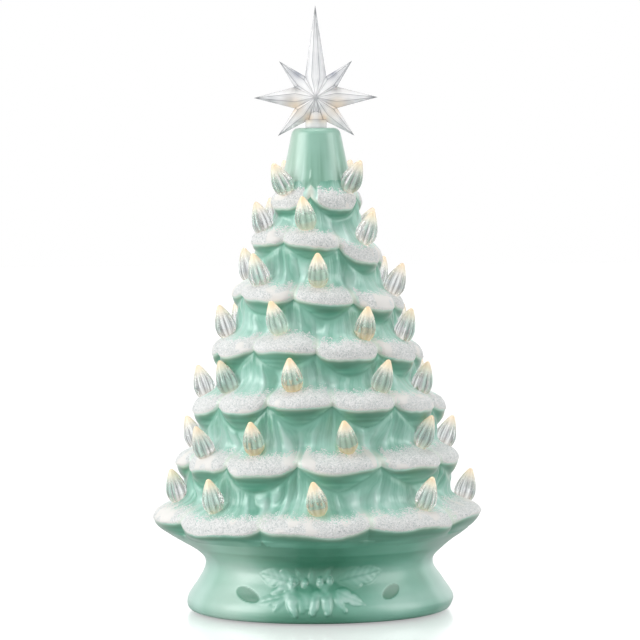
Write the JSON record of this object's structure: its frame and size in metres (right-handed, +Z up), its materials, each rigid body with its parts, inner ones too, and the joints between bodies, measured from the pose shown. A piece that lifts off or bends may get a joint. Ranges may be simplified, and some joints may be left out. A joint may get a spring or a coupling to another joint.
{
  "type": "ceramic tabletop tree lamp",
  "caption": "Glazed hollow ceramic tabletop tree with tiers of drooping scalloped branches, clear fluted bulbs, a clear faceted star topper and a battery lamp unit in the foot.",
  "frame": {"origin": "on the table under the middle of the foot", "axes": "+Z up to the star, front with the relief towards -Y, +X to the viewer's right"},
  "size_m": [0.2037, 0.2033, 0.381],
  "materials": {
    "glaze": "glossy mint glaze",
    "clear_bulb": "clear fluted acrylic, lit from inside",
    "clear_star": "clear faceted acrylic",
    "pad": "soft foam pad",
    "tray": "moulded white plastic",
    "steel": "plated steel",
    "knob": "black plastic",
    "post": "white plastic tube",
    "board": "circuit board",
    "diode": "warm diode lens",
    "wire_red": "wire insulation",
    "wire_black": "wire insulation",
    "cell": "dry cell jacket"
  },
  "bodies": {
    "tree": {"tree_shell": "glaze", "bulbs_tier_1": "clear_bulb", "bulbs_tier_2": "clear_bulb", "bulbs_tier_3": "clear_bulb", "bulbs_tier_4": "clear_bulb", "bulbs_tier_5": "clear_bulb", "bulbs_tier_6": "clear_bulb", "bulbs_tier_7": "clear_bulb", "lamp_tray": "tray", "cell_1": "cell", "cell_2": "cell", "cell_3": "cell", "contact_positive": "steel", "contact_bridge_left": "steel", "contact_bridge_right": "steel", "contact_negative": "steel", "slide_switch": "steel", "lamp_post": "post", "led_board": "board", "leds": "diode", "lead_positive": "wire_red", "lead_switch": "wire_black", "lead_return": "wire_black", "foot_pads": "pad"},
    "star": {"star_topper": "clear_star"},
    "door": {"battery_door": "tray", "door_screws": "steel"},
    "knob": {"switch_knob": "knob"}
  },
  "joints": [
    {"name": "star_lift", "type": "slide", "parent": "tree", "child": "star", "axis": [0, 0, 1], "range_m": [0, 0.03]},
    {"name": "battery_door_lift", "type": "slide", "parent": "tree", "child": "door", "axis": [0, 0, -1], "range_m": [0, 0.03]},
    {"name": "switch_slide", "type": "slide", "parent": "tree", "child": "knob", "axis": [1, 0, 0], "range_m": [0, 0.008]}
  ]
}
